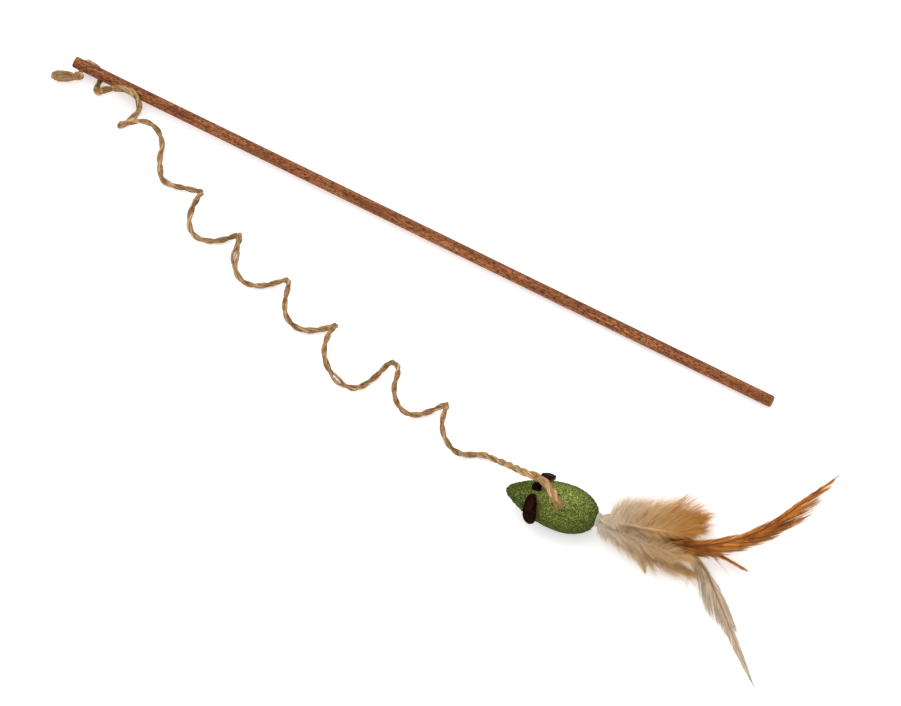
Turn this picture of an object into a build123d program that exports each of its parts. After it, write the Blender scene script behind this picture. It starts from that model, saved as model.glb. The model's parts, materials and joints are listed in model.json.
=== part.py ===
"""Cat teaser wand: a stained rod, a curled jute twine and a pressed catnip mouse with a feather tail.

The toy lies on a floor at z = 0, with +Z up and +X along the rod from its tied tip to its grip end.
All sizes are in millimetres.
"""

import os
from math import asin, cos, degrees, dist, pi, radians, sin, sqrt, tan

from build123d import *

# Rod: a dowel, parallel along the grip and slightly thinner at the tip, with a cross hole for the twine
rod_length = 460.0
rod_dia = 7.0
tip_dia = 6.8
grip_length = 300.0
end_round = 0.8
bore_dia = 3.8
bore_from_tip = 6.3
rod_tip_x = -265.2
rod_y = 76.3

# Twine
twine_dia = 3.2
hinge_gap = 0.3
touch_gap = 0.1
wrap_from_tip = 17.7
wrap_reach = 7.2
behind_heading = -6.0
behind_fall = 19.0
under_heading = -81.5
knot_dia = 6.4
knot_length = 5.4
knot_waist_dia = 5.6
tuft_stand = 0.4
tuft_heading = 201.8
tuft_fall = 6.4
tuft_neck_dia = 2.6
tuft_neck_length = 4.0
tuft_length = 9.6
tuft_end_dia = 5.4

# Curls of the twine: the floor points of each cusp, and each curl's reach across and rise
first_cusps = [(-243.7, 64.3), (-219.7, 52.8), (-193.7, 39.8)]
first_reaches = [14.0, 14.0]
first_rises = [13.0, 13.5]
main_cusps = [
    (-159.7, 35.8), (-126.7, 22.3), (-88.7, 9.8), (-50.2, -4.2),
    (-7.7, -10.2), (31.3, -17.2), (68.3, -30.2),
]
main_reaches = [20.0, 19.0, 16.5, 27.0, 18.0, 16.0]
main_rises = [13.5, 12.0, 12.0, 20.0, 13.5, 14.0]
cusp_pinch = 0.3
lead_bend = (-188.2, 38.3)
lead_bend_heading = -42.0
lift_point = (-176.7, 35.8)
lift_heading = 4.0

# Mouse: a pressed teardrop, its nose towards the rod's tip, with a small flat under its belly
nose_x = 89.3
nose_y = -50.7
mouse_heading = 7.8
mouse_length = 57.0
mouse_dia = 28.4
nose_dia = 8.4
nose_length = 2.9
haunch_length = 15.7
rump_length = 5.3
rear_shoulder_dia = 19.6
belly_flat = 0.5

# Ears: two lobes of one leather strip, whose middle is pushed into a hole in the head
ear_at = 19.3
ear_width = 8.0
ear_length = 19.4
ear_thickness = 1.3
ear_clearance = 0.6
ear_tilt = 64.0
ear_root_gap = 0.5
bridge_width = 5.0
head_hole_dia = 6.0
head_hole_depth = 7.0
head_glue_depth = 4.0
tongue_dia = 4.0

# Twine between the curls and the mouse, with heights from the floor
drop_points = [(70.3, -32.6, 4.6), (82.3, -36.6, 13.8)]
bend_share = 0.45

# Twine over the head to its frayed end: from the nose, across, and away from the body's surface
nod_point = (9.7, 6.1, 8.0)
back_points = [(15.5, 5.2, 6.9), (20.8, 4.0, 4.7), (25.8, 1.0, 2.1)]
fray_end = (32.6, -4.6, 1.7)
fray_width = 6.6
fray_thickness = 2.4

# Tail: a glue collar in the rear socket, a bundle of quills that sways in it, and the feathers
socket_dia = 9.8
socket_depth = 8.0
collar_dia = 10.6
collar_stand = 2.6
sway_stand = 1.5
bundle_dia = 7.6
bundle_length = 1.5
tail_heading = 12.0
quill_dia = 0.9
vane_thickness = 0.5
vane_widest = 0.4
quill_pitch_up = 0.9
down_ring = 3.0
down_vane_from = 6.0
down_bend = 8.0

# Long feathers from the lowest up: tilt, first turn, bend along the length, length, bare quill, vane width
long_feathers = {
    "cream_plume": (-5.2, -1.0, -61.0, 135.0, 56.0, 13.0),
    "hackle_short": (-3.0, -4.0, 6.0, 90.0, 50.0, 9.0),
    "hackle_third": (-1.4, -6.0, 33.0, 97.0, 50.0, 10.0),
    "hackle_second": (0.0, -10.0, 60.0, 126.0, 54.0, 11.0),
    "hackle_long": (1.4, -14.5, 86.0, 143.0, 58.0, 12.0),
}

# Down feathers round the quills: place round the tail, flare away from its axis, length and vane width
down_feathers = {
    "down_upper_left": (30.0, 12.0, 64.0, 9.0),
    "down_top": (90.0, 11.0, 60.0, 8.6),
    "down_upper_right": (150.0, 12.0, 58.0, 8.6),
    "down_lower_right": (210.0, 11.5, 49.0, 8.0),
    "down_bottom": (270.0, 8.5, 52.0, 6.4),
    "down_lower_left": (330.0, 11.5, 56.0, 8.4),
}

twine_r = twine_dia / 2
hinge_stand = twine_r + hinge_gap
up = Vector(0, 0, 1)


def pointing(heading, fall=0.0):
    """The direction at an angle from +X, level or falling by another angle."""
    level = Vector(cos(radians(heading)), sin(radians(heading)), 0)
    return level * cos(radians(fall)) - up * sin(radians(fall))


def biarc(start, start_dir, end, end_dir):
    """Two tangent arcs from one place and direction to the next, or a line where they are in line."""
    chord = end - start
    if start_dir.cross(chord).length + end_dir.cross(chord).length < 1e-6:
        Line(start, end)
        return
    slack = 2 * (1 - start_dir.dot(end_dir))
    along = chord.dot(start_dir + end_dir)
    if slack < 1e-9:
        arm = chord.dot(chord) / (2 * along)
    else:
        arm = (sqrt(along**2 + slack * chord.dot(chord)) - along) / slack
    first_corner = start + start_dir * arm
    second_corner = end - end_dir * arm
    meet = (first_corner + second_corner) * 0.5
    TangentArc(start, meet, tangent=start_dir)
    TangentArc(meet, end, tangent=second_corner - first_corner)


def follow(stations):
    """A path of biarcs through a list of (place, direction)."""
    for (start, start_dir), (end, end_dir) in zip(stations, stations[1:]):
        biarc(start, start_dir, end, end_dir)


def curl_station(cusps, reaches, rises, side, turns):
    """Place and direction on a curled twine after a number of turns from its first cusp.

    Each curl climbs from a cusp, crosses over at its top, comes down and returns along the floor.
    """
    curl = min(int(turns), len(reaches) - 1)
    angle = 2 * pi * (turns - curl)
    begin = Vector(*cusps[curl])
    pitch = Vector(*cusps[curl + 1]) - begin
    across = pitch.normalized().cross(up) * (side * reaches[curl] / 2)
    neighbour = curl - 1 if angle < pi else curl + 1
    rise = rises[curl]
    if cos(angle) > 0:
        rise += (rises[min(max(neighbour, 0), len(rises) - 1)] - rise) * cos(angle) ** 2 / 2
    place = begin + pitch * ((angle - cusp_pinch * sin(angle)) / (2 * pi))
    place += across * (1 - cos(angle)) + up * (twine_r + rise / 2 * (1 + sin(angle)))
    heading = pitch * ((1 - cusp_pinch * cos(angle)) / (2 * pi))
    heading += across * sin(angle) + up * (rise / 2 * cos(angle))
    return place, heading.normalized()


def curl_stations(cusps, reaches, rises, side, first, last):
    """Stations a quarter turn apart, between two counts of turns."""
    quarters = range(round(first * 4), round(last * 4) + 1)
    return [curl_station(cusps, reaches, rises, side, quarter / 4) for quarter in quarters]


def straight_on(station, length):
    """The station that lies straight ahead of another, or behind it for a negative length."""
    place, heading = station
    return place + heading * length, heading


def describe_tube(name, path, solid):
    """Print a tube's length, tightest bend, least gap to itself and how its volume fits its section."""
    wire = path.wires()[0]
    length = wire.length
    bends = [edge.radius for edge in wire.edges() if edge.geom_type == GeomType.CIRCLE]
    count = int(length)
    points = [tuple(wire.position_at(i / count)) for i in range(count + 1)]
    apart = int(pi * twine_dia)
    gaps = [dist(a, b) for i, a in enumerate(points) for b in points[i + apart:]]
    self_gap = f"{min(gaps) - twine_dia:.2f}" if gaps else "none"
    fill = solid.volume / (pi * twine_r**2 * length)
    print(f"{name}: length {length:.1f}, tightest bend {min(bends):.2f}, self gap {self_gap}, fill {fill:.3f}")


# Rod: it leans on the twine that passes under its tip, and rests on the floor at its grip end
wrap_rod_r = tip_dia / 2 + touch_gap
rod_rise = twine_dia + wrap_rod_r - rod_dia / 2
rod_tilt = asin(rod_rise / (rod_length - wrap_from_tip))
rod_dir = Vector(cos(rod_tilt), 0, -sin(rod_tilt))
rod_butt = Vector(rod_tip_x + rod_length * cos(rod_tilt), rod_y, rod_dia / 2)


def on_rod(from_tip):
    """The rod's axis at a distance from its tip."""
    return rod_butt - rod_dir * (rod_length - from_tip)


bore_centre = on_rod(bore_from_tip)

with BuildPart() as wand_rod:
    with BuildSketch(Plane(origin=rod_butt, x_dir=-rod_dir, z_dir=(0, -1, 0))):
        with BuildLine():
            butt_flat = Line((0, 0), (0, rod_dia / 2 - end_round))
            butt_edge = TangentArc(butt_flat @ 1, (end_round, rod_dia / 2), tangent=(0, 1))
            grip = Line(butt_edge @ 1, (grip_length, rod_dia / 2))
            taper = Line(grip @ 1, (rod_length - end_round, tip_dia / 2))
            tip_edge = TangentArc(taper @ 1, (rod_length, tip_dia / 2 - end_round), tangent=(1, 0))
            tip_flat = Line(tip_edge @ 1, (rod_length, 0))
            Line(tip_flat @ 1, (0, 0))
        make_face()
    revolve(axis=Axis(rod_butt, rod_dir))
    with BuildSketch(Plane(origin=bore_centre, x_dir=(1, 0, 0), z_dir=(0, 1, 0))):
        Circle(bore_dia / 2)
    extrude(amount=rod_dia, both=True, mode=Mode.SUBTRACT)

# Stopper knot: two turns of twine drawn up against the rod
knot_face = bore_centre - Vector(0, tip_dia / 2 + touch_gap, 0)

with BuildPart() as stopper_knot:
    with BuildSketch(Plane(origin=knot_face, x_dir=(1, 0, 0), z_dir=(0, 0, 1))):
        with BuildLine():
            seat = Line((0, 0), (twine_r, 0))
            ThreePointArc(
                seat @ 1, (knot_dia / 2, -knot_length / 4), (knot_waist_dia / 2, -knot_length / 2)
            )
            ThreePointArc(
                (knot_waist_dia / 2, -knot_length / 2),
                (knot_dia / 2, -knot_length * 3 / 4),
                (twine_r, -knot_length),
            )
            front = Line((twine_r, -knot_length), (0, -knot_length))
            Line(front @ 1, (0, 0))
        make_face()
    revolve(axis=Axis(knot_face, (0, 1, 0)))

# Frayed tuft: the short end of the twine beyond the knot
tuft_dir = pointing(tuft_heading, tuft_fall)
tuft_root = knot_face - Vector(0, knot_length / 2, 0) + tuft_dir * (knot_dia / 2 + tuft_stand)

with BuildPart() as knot_tuft:
    with BuildSketch(Plane(origin=tuft_root, x_dir=tuft_dir, z_dir=up)):
        with BuildLine():
            root = Line((0, 0), (0, tuft_neck_dia / 2))
            neck = Line(root @ 1, (tuft_neck_length, tuft_neck_dia / 2))
            flare = TangentArc(neck @ 1, (tuft_length, tuft_end_dia / 2), tangent=(1, 0))
            brush = Line(flare @ 1, (tuft_length, 0))
            Line(brush @ 1, (0, 0))
        make_face()
    revolve(axis=Axis(tuft_root, tuft_dir))

# Twine hitch: through the cross hole, behind and under the rod, and up its front in a first curl
bore_out = bore_centre + Vector(0, tip_dia / 2 + touch_gap, 0)
behind = on_rod((bore_from_tip + wrap_from_tip) / 2) + Vector(0, wrap_reach, 0)
under_centre = on_rod(wrap_from_tip)
under = Vector(under_centre.X, under_centre.Y, twine_r)
first_curls = curl_stations(first_cusps, first_reaches, first_rises, -1, 0, 1.75)
swing_joint = first_curls[3]
hitch_end = straight_on(swing_joint, -hinge_stand)
hitch_stations = [
    (knot_face, Vector(0, 1, 0)),
    (bore_out, Vector(0, 1, 0)),
    (behind, pointing(behind_heading, behind_fall)),
    (under, pointing(under_heading)),
    *first_curls[:3],
    straight_on(hitch_end, -twine_dia),
    hitch_end,
]

with BuildPart() as twine_hitch:
    with BuildLine() as hitch_path:
        follow(hitch_stations)
    with BuildSketch(Plane(origin=knot_face, z_dir=(0, 1, 0))):
        Circle(twine_r)
    sweep(path=hitch_path.wires()[0])

# Twine lead: one more curl that way round, then a turn along the floor to where the main curls start
lift_joint = (Vector(*lift_point, twine_r), pointing(lift_heading))
lead_end = straight_on(lift_joint, -hinge_stand)
lead_turn = (Vector(*lead_bend, twine_r), pointing(lead_bend_heading))
lead_stations = [
    swing_joint,
    straight_on(swing_joint, twine_dia),
    *first_curls[4:],
    lead_turn,
    straight_on(lead_end, -twine_dia),
    lead_end,
]

with BuildPart() as twine_lead:
    with BuildLine() as lead_path:
        follow(lead_stations)
    with BuildSketch(Plane(origin=swing_joint[0], z_dir=swing_joint[1])):
        Circle(twine_r)
    sweep(path=lead_path.wires()[0])
    with Locations(swing_joint[0]):
        Sphere(twine_r)

# Twine curls: the long run of curls the other way round
last_turn = len(main_reaches) - 0.25
main_curls = curl_stations(main_cusps, main_reaches, main_rises, 1, 0, last_turn)
curls_end = straight_on(main_curls[-1], twine_dia)
turn_joint = straight_on(curls_end, hinge_stand)
curls_stations = [lift_joint, straight_on(lift_joint, twine_dia)] + main_curls + [curls_end]

with BuildPart() as twine_curls:
    with BuildLine() as curls_path:
        follow(curls_stations)
    with BuildSketch(Plane(origin=lift_joint[0], z_dir=lift_joint[1])):
        Circle(twine_r)
    sweep(path=curls_path.wires()[0])
    with Locations(lift_joint[0]):
        Sphere(twine_r)

# Mouse body: a teardrop turned about its spine, with a hole in the head and a socket in the rear
spine_height = mouse_dia / 2 - belly_flat
spine_dir = pointing(mouse_heading)
mouse_frame = Plane(origin=(nose_x, nose_y, 0), x_dir=spine_dir, z_dir=up)
spine_side = mouse_frame.offset(spine_height)
spine_axis = Axis(spine_side.origin, spine_dir)
rear_shoulder_at = mouse_length - rump_length
widest_at = rear_shoulder_at - haunch_length
flank_drop = (mouse_dia - nose_dia) / 2
flank_bow = ((widest_at - nose_length) ** 2 + flank_drop**2) / (2 * flank_drop)


def flank_radius(from_nose):
    """The body's radius ahead of its widest place."""
    return mouse_dia / 2 - flank_bow + sqrt(flank_bow**2 - (widest_at - from_nose) ** 2)


def on_mouse(from_nose, across, height):
    """A place in the mouse's own frame: from its nose along its spine, across to its right and up."""
    return mouse_frame.from_local_coords(Vector(from_nose, across, height))


def over_flank(from_nose, across, stand):
    """A place above the mouse, ahead of its widest place and a distance from its surface."""
    from_spine = flank_radius(from_nose) + stand
    return on_mouse(from_nose, across, spine_height + sqrt(from_spine**2 - across**2))


head_top = spine_height + flank_radius(ear_at)
hole_floor = head_top - head_hole_depth
socket_floor = mouse_length - socket_depth

with BuildPart() as mouse_body:
    with BuildSketch(spine_side):
        with BuildLine():
            flank = TangentArc(
                (widest_at, mouse_dia / 2), (nose_length, nose_dia / 2), tangent=(-1, 0)
            )
            nose = TangentArc((0, 0), (nose_length, nose_dia / 2), tangent=(0, 1))
            haunch = TangentArc(
                (widest_at, mouse_dia / 2), (rear_shoulder_at, rear_shoulder_dia / 2), tangent=(1, 0)
            )
            rump = TangentArc(haunch @ 1, (mouse_length, 0), tangent=haunch % 1)
            Line(rump @ 1, (0, 0))
        make_face()
    revolve(axis=spine_axis)
    split(bisect_by=Plane.XY, keep=Keep.TOP)
    with BuildSketch(Plane(origin=on_mouse(ear_at, 0, hole_floor), z_dir=up)):
        Circle(head_hole_dia / 2)
    extrude(amount=2 * head_hole_depth, mode=Mode.SUBTRACT)
    with BuildSketch(Plane(origin=on_mouse(socket_floor, 0, spine_height), z_dir=spine_dir)):
        Circle(socket_dia / 2)
    extrude(amount=2 * socket_depth, mode=Mode.SUBTRACT)

# Twine drop: it rises from the floor over the mouse's nose
nod_place = over_flank(*nod_point)
drop_corners = [turn_joint[0]] + [Vector(*point) for point in drop_points]
drop_corners.append(nod_place - (nod_place - drop_corners[-1]).normalized() * hinge_stand)


def bend_radii(corners):
    """As large a bend at each corner as its two runs leave room for."""
    radii = []
    for before, corner, after in zip(corners, corners[1:], corners[2:]):
        coming, going = corner - before, after - corner
        half_turn = radians(coming.get_angle(going)) / 2
        radii.append(bend_share * min(coming.length, going.length) / tan(half_turn))
    return radii


with BuildPart() as twine_drop:
    with BuildLine() as drop_path:
        FilletPolyline(drop_corners, radius=bend_radii(drop_corners))
    with BuildSketch(Plane(origin=turn_joint[0], z_dir=drop_corners[1] - drop_corners[0])):
        Circle(twine_r)
    sweep(path=drop_path.wires()[0])
    with Locations(turn_joint[0]):
        Sphere(twine_r)

# Twine end: over the ear strip to the back, where its frayed end is glued down
end_corners = [nod_place] + [over_flank(*point) for point in back_points]
fray_place = over_flank(*fray_end)
fray_dir = (fray_place - end_corners[-1]).normalized()
fray_root = Plane(origin=end_corners[-1], x_dir=fray_dir.cross(up), z_dir=fray_dir)
fray_tip = Plane(origin=fray_place, x_dir=fray_dir.cross(up), z_dir=fray_dir)

with BuildPart() as twine_end:
    with BuildLine() as end_path:
        FilletPolyline(end_corners + [fray_place], radius=bend_radii(end_corners + [fray_place]))
    with BuildSketch(Plane(origin=nod_place, z_dir=end_corners[1] - nod_place)):
        Circle(twine_r)
    sweep(path=end_path.wires()[0])
    split(bisect_by=fray_root, keep=Keep.BOTTOM)
    with Locations(nod_place):
        Sphere(twine_r)
    with BuildSketch(fray_root):
        Circle(twine_r)
    with BuildSketch(fray_tip):
        Ellipse(fray_width / 2, fray_thickness / 2)
    loft()

# Ears: lobes that curve down round the head, cut to ovals from a bent strip
ear_inner = flank_radius(ear_at + ear_width / 2) + ear_clearance
ear_outer = ear_inner + ear_thickness
ear_middle = ear_inner + ear_thickness / 2
ear_half_angle = degrees(asin(ear_length / 2 / ear_middle))
bridge_half_angle = ear_tilt - degrees(asin(ear_length / 2 / ear_inner) + ear_root_gap / ear_inner)
ear_section = Plane(origin=on_mouse(ear_at, 0, spine_height), x_dir=mouse_frame.y_dir, z_dir=spine_dir)


def strip_arc(from_angle, to_angle, width):
    """A stretch of the bent strip between two angles from the top of the head, positive to the mouse's right."""
    with BuildSketch(ear_section, mode=Mode.PRIVATE) as section:
        with BuildLine():
            outer = CenterArc((0, 0), ear_outer, 90 - to_angle, to_angle - from_angle)
            inner = CenterArc((0, 0), ear_inner, 90 - to_angle, to_angle - from_angle)
            Line(outer @ 0, inner @ 0)
            Line(outer @ 1, inner @ 1)
        make_face()
    return extrude(section.sketch, amount=width / 2, both=True, mode=Mode.PRIVATE)


def ear(side):
    """One oval lobe on the mouse's right for side 1, or its left for side -1."""
    tilt = radians(side * ear_tilt)
    outward = mouse_frame.y_dir * sin(tilt) + up * cos(tilt)
    strip_ends = sorted([side * (ear_tilt - 2 * ear_half_angle), side * (ear_tilt + 2 * ear_half_angle)])
    with BuildPart() as lobe:
        add(strip_arc(*strip_ends, 2 * ear_width))
        with BuildSketch(Plane(origin=ear_section.origin, x_dir=spine_dir, z_dir=outward)):
            Ellipse(ear_width / 2, ear_length / 2)
        extrude(amount=2 * ear_outer, mode=Mode.INTERSECT)
    return lobe


ear_right = ear(1)
ear_left = ear(-1)

# Ear bridge: the middle of the strip, with the fold that goes down into the head
glue_top = hole_floor + head_glue_depth

with BuildPart() as ear_bridge:
    add(strip_arc(-bridge_half_angle, bridge_half_angle, bridge_width))
    with BuildSketch(Plane(origin=on_mouse(ear_at, 0, glue_top), z_dir=up)):
        Circle(tongue_dia / 2)
    extrude(amount=spine_height + ear_middle - glue_top)

# Head glue: fills the bottom of the hole under the fold
with BuildPart() as head_glue:
    with BuildSketch(Plane(origin=on_mouse(ear_at, 0, hole_floor), z_dir=up)):
        Circle(head_hole_dia / 2 - touch_gap / 2)
    extrude(amount=head_glue_depth)

# Tail glue: a plug in the rear socket with a bead outside and a round seat for the quills
collar_face = mouse_length + collar_stand
sway_centre = collar_face + sway_stand
bundle_r = bundle_dia / 2
seat_r = bundle_r + hinge_gap
plug_r = socket_dia / 2 - touch_gap / 2

with BuildPart() as tail_glue:
    with BuildSketch(spine_side):
        with BuildLine():
            floor = Line((socket_floor, 0), (socket_floor, plug_r))
            wall = Line(floor @ 1, (mouse_length, plug_r))
            bead = ThreePointArc(
                wall @ 1, (mouse_length + collar_stand / 2, collar_dia / 2), (collar_face, plug_r)
            )
            rim = Line(bead @ 1, (collar_face, sqrt(seat_r**2 - sway_stand**2)))
            hollow = TangentArc((sway_centre - seat_r, 0), rim @ 1, tangent=(0, 1))
            Line(hollow @ 0, floor @ 0)
        make_face()
    revolve(axis=spine_axis)

# Quill bundle: the cut quills, glued together, with a round end in the collar
sway_place = on_mouse(sway_centre, 0, spine_height)
tail_dir = pointing(tail_heading)
tail_side = tail_dir.cross(up) * -1
quill_face = Plane(origin=sway_place + tail_dir * bundle_length, x_dir=tail_side, z_dir=tail_dir)

with BuildPart() as quill_bundle:
    with BuildSketch(Plane(origin=sway_place, x_dir=tail_dir, z_dir=up)):
        with BuildLine():
            round_end = TangentArc((-bundle_r, 0), (0, bundle_r), tangent=(0, 1))
            side = Line(round_end @ 1, (bundle_length, bundle_r))
            cut_end = Line(side @ 1, (bundle_length, 0))
            Line(cut_end @ 1, round_end @ 0)
        make_face()
    revolve(axis=Axis(sway_place, tail_dir))


def feather(seat, first_turn, bend, length, vane_from, width):
    """A feather in its seat plane: a shaft that leaves near the plane's X and bends, with a pointed vane.

    The angles are in degrees; the vane starts at vane_from along the shaft.
    """
    curve = radians(bend) / length

    def heading(along):
        return radians(first_turn) + curve * along

    def shaft_place(along, across=0.0):
        angle = heading(along)
        x = (sin(angle) - sin(heading(0))) / curve
        y = (cos(heading(0)) - cos(angle)) / curve
        return x - across * sin(angle), y + across * cos(angle)

    def shaft_dir(along):
        return cos(heading(along)), sin(heading(along))

    widest = vane_from + vane_widest * (length - vane_from)
    with BuildPart() as piece:
        with BuildLine(seat) as shaft:
            root = Line(tuple(-quill_dia * part for part in shaft_dir(0)), (0, 0))
            ThreePointArc(root @ 1, shaft_place(length / 2), shaft_place(length - 2 * quill_dia))
        with BuildSketch(Plane(origin=shaft.line @ 0, z_dir=shaft.line % 0)):
            Circle(quill_dia / 2)
        sweep(path=shaft.wires()[0])
        with BuildSketch(seat):
            with BuildLine():
                for side in (width / 2, -width / 2):
                    edge = shaft_place(widest, side)
                    TangentArc(edge, shaft_place(length), tangent=shaft_dir(widest))
                    TangentArc(edge, shaft_place(vane_from), tangent=[-part for part in shaft_dir(widest)])
            make_face()
        extrude(amount=vane_thickness / 2, both=True)
        split(bisect_by=quill_face, keep=Keep.TOP)
    return piece


feathers = {}
lowest_layer = -quill_pitch_up * (len(long_feathers) - 1) / 2
for layer, (name, (tilt, *shape)) in enumerate(long_feathers.items()):
    along = tail_dir * cos(radians(tilt)) + up * sin(radians(tilt))
    place = quill_face.origin + up * (lowest_layer + layer * quill_pitch_up)
    feathers[name] = feather(Plane(origin=place, x_dir=along, z_dir=along.cross(tail_side)), *shape)
for name, (angle, flare, length, width) in down_feathers.items():
    outward = tail_side * cos(radians(angle)) + up * sin(radians(angle))
    along = tail_dir * cos(radians(flare)) + outward * sin(radians(flare))
    across = tail_dir.cross(outward)
    place = quill_face.origin + outward * down_ring
    seat = Plane(origin=place, x_dir=along, z_dir=along.cross(across))
    feathers[name] = feather(seat, -down_bend / 2, down_bend, length, down_vane_from, width)

os.makedirs("parts", exist_ok=True)
pieces = {
    "wand_rod": wand_rod,
    "stopper_knot": stopper_knot,
    "knot_tuft": knot_tuft,
    "twine_hitch": twine_hitch,
    "twine_lead": twine_lead,
    "twine_curls": twine_curls,
    "twine_drop": twine_drop,
    "twine_end": twine_end,
    "mouse_body": mouse_body,
    "ear_left": ear_left,
    "ear_right": ear_right,
    "ear_bridge": ear_bridge,
    "head_glue": head_glue,
    "tail_glue": tail_glue,
    "quill_bundle": quill_bundle,
    **feathers,
}
for name, piece in pieces.items():
    piece.part.label = name
    export_step(piece.part, f"parts/{name}.step")

tubes = {
    "twine_hitch": (hitch_path, twine_hitch),
    "twine_lead": (lead_path, twine_lead),
    "twine_curls": (curls_path, twine_curls),
    "twine_drop": (drop_path, twine_drop),
}
for name, (path, tube) in tubes.items():
    describe_tube(name, path, tube.part)
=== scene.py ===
"""Cat teaser wand, dressed: a stained dowel, two-ply jute twine, a pressed catnip mouse and its feather tail.

Everything is in metres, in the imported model's frame: +X along the rod to its grip end, +Z up from the floor.
"""

import json
from math import atan2, cos, exp, pi, radians, sin, sqrt, tau
from random import Random

import bmesh
import bpy
from mathutils import Matrix, Vector, noise


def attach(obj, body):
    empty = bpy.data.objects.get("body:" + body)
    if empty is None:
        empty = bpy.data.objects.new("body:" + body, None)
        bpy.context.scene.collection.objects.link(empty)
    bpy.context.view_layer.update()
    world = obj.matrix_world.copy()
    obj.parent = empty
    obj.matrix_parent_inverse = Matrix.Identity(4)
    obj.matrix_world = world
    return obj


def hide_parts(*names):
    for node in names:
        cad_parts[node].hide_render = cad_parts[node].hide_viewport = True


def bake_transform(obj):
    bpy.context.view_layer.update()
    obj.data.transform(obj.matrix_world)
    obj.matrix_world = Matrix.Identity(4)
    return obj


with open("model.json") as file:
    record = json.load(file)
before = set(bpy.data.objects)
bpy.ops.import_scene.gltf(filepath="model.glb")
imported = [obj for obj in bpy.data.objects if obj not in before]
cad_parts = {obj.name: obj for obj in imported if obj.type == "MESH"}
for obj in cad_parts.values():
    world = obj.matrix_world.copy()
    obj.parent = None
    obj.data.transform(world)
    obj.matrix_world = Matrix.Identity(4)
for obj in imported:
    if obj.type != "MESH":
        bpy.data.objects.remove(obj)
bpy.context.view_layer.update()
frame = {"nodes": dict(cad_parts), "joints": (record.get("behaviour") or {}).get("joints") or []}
nodes = frame["nodes"]
joints = {joint["name"]: Vector(joint["pos_m"]) for joint in frame["joints"]}
up = Vector((0, 0, 1))

# Studio: a long lens from above and in front of the toy, a white floor and soft lamps
look_at = Vector((0.0157, 0.0169, 0))
view_azimuth = radians(28.56)
view_elevation = radians(63)
view_distance = 16.0
view_width = 0.5207
sensor_width = 36.0
floor_size = 6
floor_glow = 0.34
sky_strength = 0.82
lamps = {
    "key": ((-0.5, 0.7, 1.5), 2.0, 10),
    "fill": ((0.9, -0.9, 1.4), 2.0, 4),
    "side": ((-1.2, -0.5, 1.2), 1.8, 3),
}

# Twine: two plies of twisted yarns, and the fibres that stand off them
twine_dia = 0.0032
twine_r = twine_dia / 2
ply_pitch = 0.0165
ply_offset = 0.00056
yarn_pitch = 0.024
yarn_count = 10
yarn_offset = 0.00082
yarn_r = 0.00036
core_r = 0.00074
sample_step = 0.0005
fibre_r = 0.00006
fibre_steps = 6
fibre_shares = [step / fibre_steps for step in range(fibre_steps + 1)]
floor_gap = 0.00004

# How uneven the twine is, as a share and over a length: the plies' and yarns' distance, yarn and whole size
ply_waver = (0.2, 0.013)
yarn_waver = (0.22, 0.006)
thick_waver = (0.4, 0.004)
size_waver = (0.08, 0.03)

# Loose fibres on the twine, lying and standing off it: count on a metre, reach along it, and lift
lying_fibres = (3000, (0.004, 0.011), (0, 0.0002))
standing_fibres = (1300, (0.0015, 0.006), (0.0003, 0.0012))

# Twine's route: listed points round the rod and over the mouse, and by formula through the curls
hitch_points = [
    (-0.2589, 0.072, 0.0068), (-0.2589, 0.0763, 0.0068), (-0.2589, 0.081, 0.006),
    (-0.2546, 0.0806, 0.0043), (-0.2502, 0.0802, 0.0022), (-0.2474, 0.0762, 0.0017),
    (-0.247, 0.0702, 0.0022),
]
first_cusps = [(-0.2437, 0.0643), (-0.2197, 0.0528), (-0.1937, 0.0398)]
first_reaches = [0.014, 0.014]
first_rises = [0.013, 0.0135]
first_turns = 1.75
lead_points = [
    (-0.1886, 0.04, 0.0016), (-0.1848, 0.035, 0.0016),
    (-0.1767, 0.0348, 0.0016), (-0.1664, 0.037, 0.0036),
]
main_cusps = [
    (-0.1597, 0.0358), (-0.1267, 0.0223), (-0.0887, 0.0098), (-0.0502, -0.0042),
    (-0.0077, -0.0102), (0.0313, -0.0172), (0.0683, -0.0302),
]
main_reaches = [0.02, 0.019, 0.0165, 0.027, 0.018, 0.016]
main_rises = [0.0135, 0.012, 0.012, 0.02, 0.0135, 0.014]
main_turns = 5.75
cusp_pinch = 0.3
points_per_turn = 16
drop_points = [
    (0.0645, -0.0324, 0.0017), (0.0705, -0.0334, 0.0044),
    (0.0823, -0.0369, 0.0138), (0.0981, -0.0431, 0.0286),
]
back_points = [
    (0.0155, 0.0056, 0.0304), (0.0208, 0.0046, 0.0302),
    (0.0264, 0.0012, 0.0291), (0.0332, -0.005, 0.0285),
]

# Listed bends, so that no two curls are alike: at how many turns, over how many, and how far aside in X and Y
first_bends = [
    (0.36, 0.2, 0.0034, 0.0012), (0.6, 0.15, 0.0046, -0.0006), (1.00, 0.1, -0.002, -0.001),
    (1.7, 0.15, 0.0024, 0.0002),
]
main_bends = [
    (0.00, 0.08, 0.0008, 0.0004), (0.4, 0.2, -0.0006, -0.0004), (2.2, 0.18, 0.001, 0.0005),
    (3.00, 0.1, 0.0014, 0.0008), (3.3, 0.16, -0.0029, -0.0016), (3.62, 0.15, 0.004, -0.0012),
    (3.95, 0.08, -0.0013, 0.0019), (4.15, 0.12, 0.0023, 0.001), (4.6, 0.15, 0.0004, -0.0009),
    (5.3, 0.15, -0.001, -0.0006), (5.62, 0.15, 0.0005, -0.0009),
]

# Eyelets where the plies part, and slack places that are thicker: turns along the curls, reach, how much
eyelets = [(1.3, 0.0042, 1.9), (3.47, 0.0042, 1.9)]
slack_places = [(0.02, 0.008, 0.42), (0.3, 0.012, 0.2), (1.00, 0.006, 0.34)]

# The twine's last stretch, which loosens, and the taper at its cut
loose_end = 0.066
loose_size = 1.62
cut_taper = 0.005
cut_size = 0.5

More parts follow.
